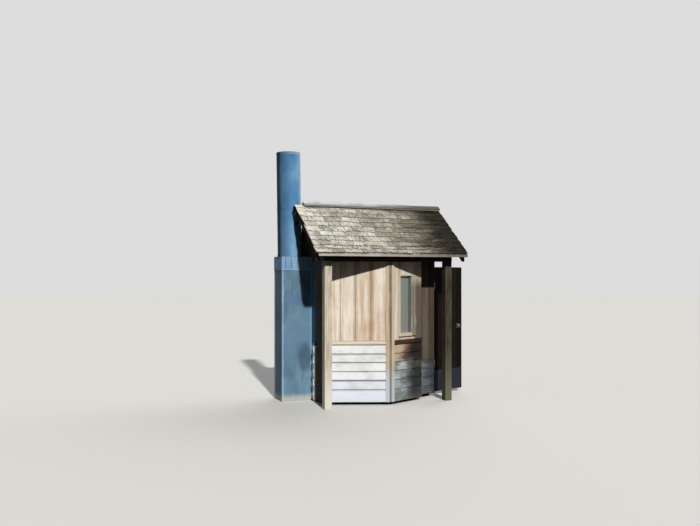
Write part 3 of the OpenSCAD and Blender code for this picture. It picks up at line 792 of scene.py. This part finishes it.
cornerWall = dict(start=0.012, joints=(0.105, 0.20), end=rightX - returnX, high=1.798, thick=0.016,
    siding=(0.462, 0.355, 0.248, 0.142, 0.036))
edges = (cornerWall["start"], *cornerWall["joints"], cornerWall["end"])
cornerUpper = uprightBoards(cornerFace, edges, cornerWall["siding"][0] + 0.002, cornerWall["high"], upper["thick"],
                            tones=(0.5, 0.9, 0.3))
ready("cornerWallBoards", cornerUpper, shadedBoards, "bay_boards")
cornerLower = levelBoards(cornerFace, cornerWall["start"], cornerWall["end"] - 0.002, cornerWall["siding"],
                          cornerWall["thick"], (0.9, 0.3, 0.6, 0.4))
ready("cornerWallSiding", cornerLower, dimSidingFinish, "siding", "corner_wall_siding")
print("bay walls boarded")


# window frame

def frameBar(s0, s1, z0, z1, back, proud, tone):
    # from s0 to s1 along the right bay wall and from z0 to z1 in height
    wide, tall = s1 - s0, z1 - z0
    along = zUp if tall > wide else zUp.cross(bayRight.out)
    size = (max(tall, wide), min(tall, wide), proud - back)
    centre = bayRight.at((s0 + s1) / 2, (z0 + z1) / 2, back)
    return layBoard(size, along, bayRight.out, centre, rough=0.0003, tone=tone)


start, end, low, high, rim, back, proud = window.values()
bars = [frameBar(*bar) for bar in (
    (start, start + rim, low, high, back, proud, 0.8),
    (end - rim, end + 0.010, low, high, back, proud, 0.9),
    (end - 0.052, end - rim, low + rim, high - rim, -0.006, proud - 0.004, 0.8),
    (start + rim, end - rim, high - rim, high, back, proud, 0.8),
    (start + rim, end - rim, low, low + rim, back, proud, 0.6),
    (start - 0.008, end + 0.012, low - 0.018, low + 0.002, 0.0, 0.030, 0.75))]
ready("windowFrame", bars, windowTrim, "trim", "window_frame")
# a stop beside the pane, its dark blue-grey colour painted shade
stop = frameBar(end - 0.078, end - rim, low + rim, high - rim, -0.022, -0.006, 0.4)
ready("windowStop", [stop], stopWood, "trim")
print("window framed")


# side and rear walls, gables

sheathLow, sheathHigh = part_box("front_sheathing")
roof = dict(pitch=math.radians(39.6), eaveY=sheathLow.y, eaveZ=sheathLow.z, half=sheathHigh.x, sheathing=0.022,
    shakes=0.026)
cosP, sinP = math.cos(roof["pitch"]), math.sin(roof["pitch"])
ridgeZ = roof["eaveZ"] - roof["eaveY"] * math.tan(roof["pitch"])
slopeLength = -roof["eaveY"] / cosP
plain = dict(thick=0.009, width=0.14, low=0.030, high=1.698, aboveRidge=2.40, gableLow=1.803, gableThick=0.008,
    leftNails=(0.12, 0.95, 1.65), rearNails=(0.12, 0.95, 1.62))


def addGableWall(name, boards):
    # boards that run past the roof are cut to its slopes
    piece = joinPieces(name, boards)
    for side in (-1, 1):
        keepBelow(piece, (0, 0, ridgeZ - 0.002), (0, side * sinP, cosP))
    ready(name, [piece], darkBoards, "wall_boards")


leftEdges = evenEdges(0.004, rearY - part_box("left_wall")[0].y, plain["width"])
addGableWall("leftWallBoards", uprightBoards(leftFace, leftEdges, plain["low"], plain["aboveRidge"], plain["thick"]))
addNails("leftWallNails", leftFace, leftEdges, plain["leftNails"], plain["thick"])
rearEdges = evenEdges(leftX + 0.002, -leftX - 0.002, plain["width"])
rearBoards = uprightBoards(rearFace, rearEdges, plain["low"], plain["high"], plain["thick"])
ready("rearWallBoards", rearBoards, darkBoards, "wall_boards")
addNails("rearWallNails", rearFace, rearEdges, plain["rearNails"], plain["thick"])
rightEdges = evenEdges(0.0, rearY - cornerY, plain["width"])
addGableWall("rightGableBoards", uprightBoards(rightFace, rightEdges, plain["gableLow"], plain["aboveRidge"],
                                               plain["gableThick"]))
print("plain walls boarded")


# posts

post = dict(width=0.089, high=1.700, rough=0.0016)
for name in ("front_left_post", "front_right_post", "rear_left_post", "rear_right_post"):
    low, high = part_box(name)
    middle = (low + high) / 2
    out = Vector((0, -1 if middle.y < 0 else 1, 0))
    centre = Vector((middle.x, middle.y, post["high"] / 2)) - out * post["width"] / 2
    size = (post["high"], post["width"], post["width"])
    board = layBoard(size, zUp, out, centre, master=postMaster, rough=post["rough"], tone=0.9)
    word = name.split("_")
    finish = postWood if name == "front_left_post" else greyPostWood
    ready(word[0] + word[1].title() + "Post", [board], finish, "post_wood", name)
print("posts stood")


# roof: shakes in courses from a starter up, cap boards

# lap is how far the left ends pass the barge rafter at the eave, and skew how much more at the ridge
shake = dict(courses=(0.0, 0.062, 0.124, 0.214, 0.308, 0.402, 0.497, 0.590, 0.684, 0.778, 0.862), length=0.226,
    butt=0.0085, tip=0.002, leastLift=0.0125, widths=(0.06, 0.19), leastEnd=0.05, gap=0.0028, lap=0.022, skew=0.020)
starter = dict(distance=0.006, length=0.13, butt=0.0155, tone=1.5)
notch = dict(edge=-0.8015, low=0.111, high=0.456)


def slopeOf(side):
    # down along the slope and out of it, side is -1 in front and 1 behind
    return Vector((0, side * cosP, -sinP)), Vector((0, side * sinP, cosP))


def layShake(x0, x1, distance, side, length, lift, butt, master, tone):
    # distance is measured up the slope from the eave to the butt
    piece = newCopy(master)
    lean = dice.uniform(-0.0015, 0.0015)
    for vertex in piece.data.vertices:
        at = vertex.co
        share = at.x + 0.5                       # 0 at the tip, 1 at the butt
        thick = shake["tip"] + (butt - shake["tip"]) * share
        ragged = (at.x > 0.4) * 0.010 * math.sin(at.y * 11 + distance * 90 + x0 * 40)
        vertex.co = (at.x * length + ragged * 0.5, at.y * (x1 - x0), at.z * thick + share * lift + lean * at.y)
    markBoard(piece, tone)
    down, out = slopeOf(side)
    foot = Vector(((x0 + x1) / 2, side * -roof["eaveY"], roof["eaveZ"] + roof["sheathing"] / cosP))
    piece.data.transform(placing(down, out, foot - down * (distance + length / 2)))
    return piece


def layCourse(side, distance, length, lift, butt, tone=None):
    pieces = []
    x = -roof["half"] - shake["lap"] - shake["skew"] * distance / slopeLength + dice.uniform(-0.010, 0.010)
    end = roof["half"] + dice.uniform(-0.004, 0.006)
    while x < end - 0.02:
        width = min(dice.uniform(*shake["widths"]), end - x)
        if end - x - width < shake["leastEnd"]:
            width = end - x
        ragged = 0.0 if tone else dice.uniform(-0.004, 0.011)
        pieces.append(layShake(x, x + width - shake["gap"] * dice.uniform(0.5, 1.8), distance + ragged + 0.002, side,
                               length, lift, butt, dice.choice(shakeMasters), tone or dice.random()))
        x += width
    return pieces


def layShakes(side):
    pieces = layCourse(side, starter["distance"], starter["length"], 0.0, starter["butt"], starter["tone"])
    lift, last = shake["leastLift"], 0.0
    for distance in shake["courses"]:
        if distance:                             # each course lies on the one below it
            lift = max(shake["leastLift"], (1 - (distance - last) / shake["length"]) * (lift + shake["butt"]))
        length = min(shake["length"], slopeLength - distance - 0.004)
        pieces += layCourse(side, distance, length, lift * min(1.0, length / shake["length"]), shake["butt"])
        last = distance
    return pieces


def clearOfPipe(pieces):
    # shakes that reach into the notch for the pipe are cut to its three edges
    sides = (((notch["edge"], 0, 0), (-1, 0, 0)),
             ((0, notch["low"], 0), (0, 1, 0)),
             ((0, notch["high"], 0), (0, -1, 0)))
    kept = []
    for piece in pieces:
        xs = [v.co.x for v in piece.data.vertices]
        ys = [v.co.y for v in piece.data.vertices]
        if min(xs) > notch["edge"] - 0.001 or max(ys) < notch["low"] or min(ys) > notch["high"]:
            kept.append(piece)
            continue
        for point, outward in sides:
            part = newCopy(piece)
            keepBelow(part, point, outward)
            if outward[1]:
                keepBelow(part, (notch["edge"] - shake["gap"] / 2, 0, 0), (1, 0, 0))
            if len(part.data.polygons) < 5:
                bpy.data.objects.remove(part)
            else:
                kept.append(part)
        bpy.data.objects.remove(piece)
    return kept


ready("frontShakes", layShakes(-1), shakesFinish, "shakes", "front_shakes")
ready("rearShakes", clearOfPipe(layShakes(1)), shakesFinish, "shakes", "rear_shakes")

cap = dict(width=0.058, thick=0.016, lap=0.010, felt=0.014, feltThick=0.003, start=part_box("ridge_cap")[0].x)
peak = Vector((0, 0, ridgeZ + (roof["sheathing"] + roof["shakes"]) / cosP))
felts, capBoards = [], []
for side, top, breakX in ((-1, -cap["lap"], 0.13), (1, 0.0, -0.2)):
    down, out = slopeOf(side)
    foot = peak + down * ((top + cap["width"]) / 2)
    for x0, x1 in ((cap["start"], breakX), (breakX, roof["half"])):
        size = (x1 - x0 - 0.003, cap["width"] - top, cap["thick"])
        capBoards.append(layBoard(size, xAlong, out, foot + xAlong * ((x0 + x1) / 2), rough=0.0018, tone=0.8))
    feltRun = cap["width"] + cap["felt"]
    size = (roof["half"] - cap["start"] - 0.01, feltRun, cap["feltThick"])
    foot = peak + down * feltRun / 2 + xAlong * ((cap["start"] + roof["half"]) / 2)
    felts.append(layBoard(size, xAlong, out, foot, rough=0.0012, tone=0.5))
ready("ridgeCap", capBoards, capWood, "cap_wood", "ridge_cap")
ready("ridgeFelt", felts, feltFinish, "cap_wood")
print("roof laid")


# vent stack: a dented box with angle edges

stack = dict(bulge=0.004, edgeWidth=0.026, edgeThick=0.0025, short=0.01)
low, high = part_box("stack_box")
size, middle = high - low, (low + high) / 2
skin = addBlock("stackBox", size, middle)
for axis, cuts in ((0, 6), (1, 5), (2, 18)):
    cutAlong(skin, axis, cuts)
for vertex in skin.data.vertices:
    at = vertex.co - middle
    x, y, z = (2 * at[i] / size[i] for i in range(3))
    swell = stack["bulge"] * (1 - z ** 8) * math.sin(z * 5.5)
    if abs(abs(x) - 1) < 1e-3 and abs(y) < 0.98:
        vertex.co.x += math.copysign(swell * (1 - y * y), x) * (x < 0)
    if abs(abs(y) - 1) < 1e-3 and abs(x) < 0.98:
        vertex.co.y += math.copysign(swell * (1 - x * x), y) * (0.9 if y < 0 else 0.4)
bevelEdges(skin, 0.002)
ready("stackBox", [skin], stackFinish, "stack_metal", "stack_box")

trims = []
thick, wide, tall = stack["edgeThick"], stack["edgeWidth"], size.z - stack["short"]
for x, y, toX, toY in ((low.x, low.y, 1, 1), (low.x, high.y, 1, -1), (high.x, low.y, -1, 1), (high.x, high.y, -1, -1)):
    atX = x + wide / 2 - thick if toX > 0 else x - wide / 2
    trims.append(addBlock("angle", (wide, thick, tall), (atX, y - toY * thick / 2, middle.z)))
    if toX > 0:
        at = (x - thick / 2, y + toY * (wide / 2 - thick / 4), middle.z)
        trims.append(addBlock("angle", (thick, wide, tall), at))
stackTrims = joinPieces("stackTrims", trims)
bevelEdges(stackTrims, 0.0006, segments=1)
ready("stackTrims", [stackTrims], edgeFinish, "stack_metal")


# the skirt under the lid: folded sheet with a hem below, a lip above and upright ribs

skirt = dict(low=1.592, thick=0.0025, out=0.003, past=0.012, hem=0.012, hemThick=0.005, lip=0.010, lipThick=0.0045,
    ribs=5, ribWidth=0.014, ribThick=0.005, ribShort=0.045)
skirtMiddle = (skirt["low"] + high.z) / 2
bands = ((skirtMiddle, high.z - skirt["low"], skirt["thick"]),
         (skirt["low"] + skirt["hem"] / 2, skirt["hem"], skirt["hemThick"]),
         (high.z - 0.006, skirt["lip"], skirt["lipThick"]))
skirts, ribs = [], []
for x, y, extent, out in (
        (middle.x, low.y - skirt["out"], size.x + skirt["past"], Vector((0, -1, 0))),
        (middle.x, high.y + skirt["out"], size.x + skirt["past"], Vector((0, 1, 0))),
        (low.x - skirt["out"], middle.y, size.y + skirt["past"], Vector((-1, 0, 0)))):
    along = zUp.cross(out)
    for z, tall, thick in bands:
        sheet = addBlock("skirt", (extent, tall, thick), (0, 0, thick / 2))
        bevelEdges(sheet, thick * 0.3)
        sheet.data.transform(placing(along, out, (x, y, z)))
        skirts.append(sheet)
    for i in range(skirt["ribs"]):
        thick = skirt["ribThick"]
        rib = addBlock("rib", (skirt["ribWidth"], high.z - skirt["low"] - skirt["ribShort"], thick), (0, 0, thick / 2))
        choose(rib, "polygons", lambda face: face.normal.z > 0.5)
        bpy.ops.transform.resize(value=(0.35, 0.94, 1))
        leaveEdit()
        bevelEdges(rib, 0.0012)
        shift = (i + 0.5) / skirt["ribs"] - 0.5
        centre = Vector((x, y, skirtMiddle + 0.004)) + along * shift * extent * 0.94 + out * 0.001
        rib.data.transform(placing(along, out, centre))
        ribs.append(rib)
ready("stackSkirt", skirts, edgeFinish, "stack_metal")
ready("skirtRibs", ribs, ribFinish, "stack_metal")


# a flat flashing on the left wall beside the box, with one hole, a bent lip and its screws

flashing = dict(width=0.155, low=0.02, high=1.70, thick=0.0016, hole=0.021, holeZ=0.675, lip=0.034, lipHigh=0.72,
    screws=(0.10, 0.42, 0.76, 1.10, 1.44, 1.66))
wallOut, flashY = leftX - plain["thick"], low.y - flashing["width"] / 2
flash = addBlock("stackFlashing", (flashing["thick"], flashing["width"], flashing["high"] - flashing["low"]),
                 (wallOut - flashing["thick"] / 2, flashY, (flashing["low"] + flashing["high"]) / 2))
cutAlong(flash, 2, 30)
for vertex in flash.data.vertices:
    if vertex.co.y < flashY:
        vertex.co.y += 0.006 * math.sin(vertex.co.z * 31) + 0.003 * math.sin(vertex.co.z * 83)
        vertex.co.x -= 0.002 + 0.0015 * math.sin(vertex.co.z * 17)
drill = addTube("drill", flashing["hole"], 0.05, (0, 0, 0), sides=24)
drill.data.transform(Matrix.Rotation(math.radians(90), 4, "Y"))
drill.data.transform(Matrix.Translation((wallOut, flashY, flashing["holeZ"])))
finishWith(flash, "BOOLEAN", object=drill, operation="DIFFERENCE", solver="EXACT")
bpy.data.objects.remove(drill)
edgeY, lipX = low.y - flashing["width"], wallOut - flashing["lip"] / 2
lip = addBlock("lip", (flashing["lip"], flashing["thick"], flashing["lipHigh"] - flashing["low"]),
               (lipX, edgeY + 0.004, (flashing["lipHigh"] + flashing["low"]) / 2))
cutAlong(lip, 2, 36)
for vertex in lip.data.vertices:
    if vertex.co.x < lipX:
        vertex.co.x += 0.005 * math.sin(vertex.co.z * 47) + 0.003 * math.sin(vertex.co.z * 113)
        vertex.co.y += 0.004 * math.sin(vertex.co.z * 29)
ready("stackFlashing", [flash, lip], flashingFinish, "stack_metal")
screws = [driveNail((wallOut - flashing["thick"] - 0.002, edgeY + 0.02, z), (-1, 0, 0)) for z in flashing["screws"]]
ready("flashingScrews", screws, hardwareFinish, "steel")


# beads and a seam on the leaning pipe

pipe = dict(foot=(-0.974, 0.2835, 1.763), top=3.046, radius=0.1475, lean=math.radians(0.8),
    beads=(2.34, 2.35, 3.036), beadRadius=0.004, seamWidth=0.022, seamThick=0.0025)
footX, footY, footZ = pipe["foot"]
seams = []
for z in pipe["beads"]:
    deselectAll()
    bpy.ops.mesh.primitive_torus_add(location=(footX, footY, z), major_radius=pipe["radius"] - 0.001,
                                     minor_radius=pipe["beadRadius"], major_segments=72, minor_segments=10)
    seams.append(settle("bead"))
seams.append(addBlock("seam", (pipe["seamWidth"], pipe["seamThick"], pipe["top"] - footZ - 0.012),
                      (footX + 0.03, footY + pipe["radius"] + 0.0005, (footZ + pipe["top"]) / 2)))
bevelEdges(seams[-1], 0.0007)
pipeSeams = joinPieces("pipeSeams", seams)
toFoot = Matrix.Translation(pipe["foot"])
pipeSeams.data.transform(toFoot @ Matrix.Rotation(-pipe["lean"], 4, "Y") @ toFoot.inverted())
ready("pipeSeams", [pipeSeams], pipeFinish, "stack_metal")
pick(pipeSeams)
bpy.ops.object.shade_smooth_by_angle(angle=math.radians(40))
print("vent stack dressed")


# deck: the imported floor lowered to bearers, with planks above, cut to the bay

deck = dict(plank=0.11, gap=0.003, thick=0.011, inside=0.0445)
deckLow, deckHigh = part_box("floor_deck")
bearer = newCopy(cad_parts["floor_deck"])
for key in list(bearer.keys()):
    del bearer[key]
bearer.parent = None
choose(bearer, "polygons", lambda face: True)
bpy.ops.mesh.remove_doubles(threshold=1e-5)
leaveEdit()
for vertex in bearer.data.vertices:
    if vertex.co.z > deckHigh.z - 1e-4:
        vertex.co.z -= deck["thick"]
ready("deckBearers", [bearer], innerWood, "inner_wood", "floor_deck")
edges = evenEdges(deckLow.y, deckHigh.y, deck["plank"])
planks = []
for start, end in zip(edges, edges[1:]):
    size = (deckHigh.x - deckLow.x, end - start - deck["gap"], deck["thick"])
    centre = ((deckLow.x + deckHigh.x) / 2, (start + end) / 2, deckHigh.z - deck["thick"])
    planks.append(layBoard(size, xAlong, zUp, centre))
deckPlanks = joinPieces("deckPlanks", planks)
for side in (-1, 1):
    keepBelow(deckPlanks, (0, bayY + deck["inside"] / cosA + 0.004, 0), (side * sinA, -cosA, 0))
ready("deckPlanks", [deckPlanks], deckWood, "inner_wood")
print("deck laid")


# side door: planks, ledges and braces, kick plate, screws

door = dict(axis=Vector((0.8115, -0.1375, 0)), open=math.radians(71), proud=-0.008, start=0.0025, width=0.5775,
    low=0.040, high=1.640, planks=5, plankThick=0.024)
ledge = dict(thick=0.012, width=0.11, short=0.05, heights=(0.20, 0.86, 1.48))
brace = dict(thick=0.011, width=0.09, fromSide=0.09, fromLedge=0.05)
doorRun = Vector((math.sin(door["open"]), math.cos(door["open"]), 0))
doorOut = Vector((math.cos(door["open"]), -math.sin(door["open"]), 0))
plankFoot = door["axis"] + doorOut * (door["proud"] - door["plankThick"])
doorFace, doorBack = Face(plankFoot, doorRun, doorOut), Face(plankFoot, doorRun, -doorOut)
plankEdges = [door["start"] + door["width"] * i / door["planks"] for i in range(door["planks"] + 1)]
doorMiddle = door["start"] + door["width"] / 2
leaf = uprightBoards(doorFace, plankEdges, door["low"], door["high"], door["plankThick"], gap=0.0025)
for z in ledge["heights"]:
    size = (door["width"] - ledge["short"], ledge["width"], ledge["thick"])
    leaf.append(layBoard(size, doorRun, doorBack.out, doorBack.at(doorMiddle, z)))
for z0, z1 in zip(ledge["heights"], ledge["heights"][1:]):
    foot = doorBack.at(brace["fromSide"], z0 + brace["fromLedge"])
    head = doorBack.at(door["width"] - brace["fromSide"], z1 - brace["fromLedge"])
    size = ((head - foot).length - 0.05, brace["width"], brace["thick"])
    leaf.append(layBoard(size, head - foot, doorBack.out, (foot + head) / 2))
ready("doorLeaf", leaf, doorWood, "door_wood", "side_door", body="door")

kick = dict(low=0.040, high=0.312, margin=0.025, thick=0.002, screws=6, screwRun=0.0995, fromEdge=0.015)
plateFace = Face(door["axis"] + doorOut * door["proud"], doorRun, doorOut)
plate = addBlock("kickPlate", (door["width"] - 2 * kick["margin"], kick["high"] - kick["low"], kick["thick"]),
                 (0, 0, kick["thick"] / 2))
cutAlong(plate, 0, 8)
bevelEdges(plate, 0.0006, segments=1)
plate.data.transform(placing(doorRun, doorOut, plateFace.at(doorMiddle, (kick["low"] + kick["high"]) / 2)))
ready("kickPlate", [plate], kickFinish, "kick_metal", "kick_plate", body="door")
screws = []
for i in range(kick["screws"]):
    s = door["start"] + kick["margin"] + kick["fromEdge"] + i * kick["screwRun"]
    for z in (kick["low"] + kick["fromEdge"], kick["high"] - kick["fromEdge"]):
        screws.append(driveNail(plateFace.at(s, z, kick["thick"] - 0.0003), doorOut))
ready("kickScrews", screws, hardwareFinish, "steel", body="door")
print("door hung")

for master in [plankMaster, postMaster, nailMaster] + shakeMasters:
    bpy.data.objects.remove(master)


# stage, light, camera

deselectAll()
bpy.ops.mesh.primitive_circle_add(vertices=96, radius=60, fill_type="NGON", location=(0, 0, 0))
ground = settle("paleFloor")
floorFinish = Finish("floorFinish")
floorFinish.body = floorFinish.mix("3c3b39", "dddddb", floorFinish.ray("Camera") + floorFinish.ray("Glossy"))
ground.data.materials.append(floorFinish.close(Roughness=0.95, Specular_IOR_Level=0.0))

lamps = (
    dict(name="sun", direction=(0.156, 1.0, -0.72), energy=3.4, angle=2.0, tint=(1.0, 0.965, 0.91)),
    dict(name="backLamp", direction=(-0.8, -0.6, -0.42), energy=2.4, angle=80, tint=(1, 1, 1)))
for light in lamps:
    turn = Vector(light["direction"]).to_track_quat("-Z", "Y").to_euler()
    bpy.ops.object.light_add(type="SUN", location=(-2, -6, 6), rotation=turn)
    lamp = bpy.context.object
    lamp.name, lamp.data.color = light["name"], light["tint"]
    lamp.data.energy, lamp.data.angle = light["energy"], math.radians(light["angle"])

sky = dict(fillTint=(0.92, 0.96, 1.0, 1), fill=0.075, backdropTint=(0.72, 0.72, 0.72, 1), backdrop=1.0)
world = bpy.context.scene.world or bpy.data.worlds.new("studio")
bpy.context.scene.world = world
air = Finish(world)
fill = air.get("ShaderNodeBackground", {}, {0: sky["fillTint"], 1: sky["fill"]})
backdrop = air.get("ShaderNodeBackground", {}, {0: sky["backdropTint"], 1: sky["backdrop"]})
shown = air.ray("Camera").maths("MAXIMUM", air.ray("Glossy")).maths("MAXIMUM", air.ray("Transmission"))
air.node("ShaderNodeOutputWorld", {}, {0: air.get("ShaderNodeMixShader", {}, {0: shown, 1: fill, 2: backdrop})})

shot = dict(location=(-3.8655, -8.439, 1.55), heading=-23.0, lens=38.057, shiftUp=11 / 700)
turn = (math.radians(90), 0, math.radians(shot["heading"]))
bpy.ops.object.camera_add(location=shot["location"], rotation=turn)
camera = bpy.context.object
camera.data.lens, camera.data.sensor_width, camera.data.shift_y = shot["lens"], 36, shot["shiftUp"]
camera.data.clip_end = 200
bpy.context.scene.camera = camera
bpy.context.scene.view_settings.view_transform = "Standard"
print("stage set")
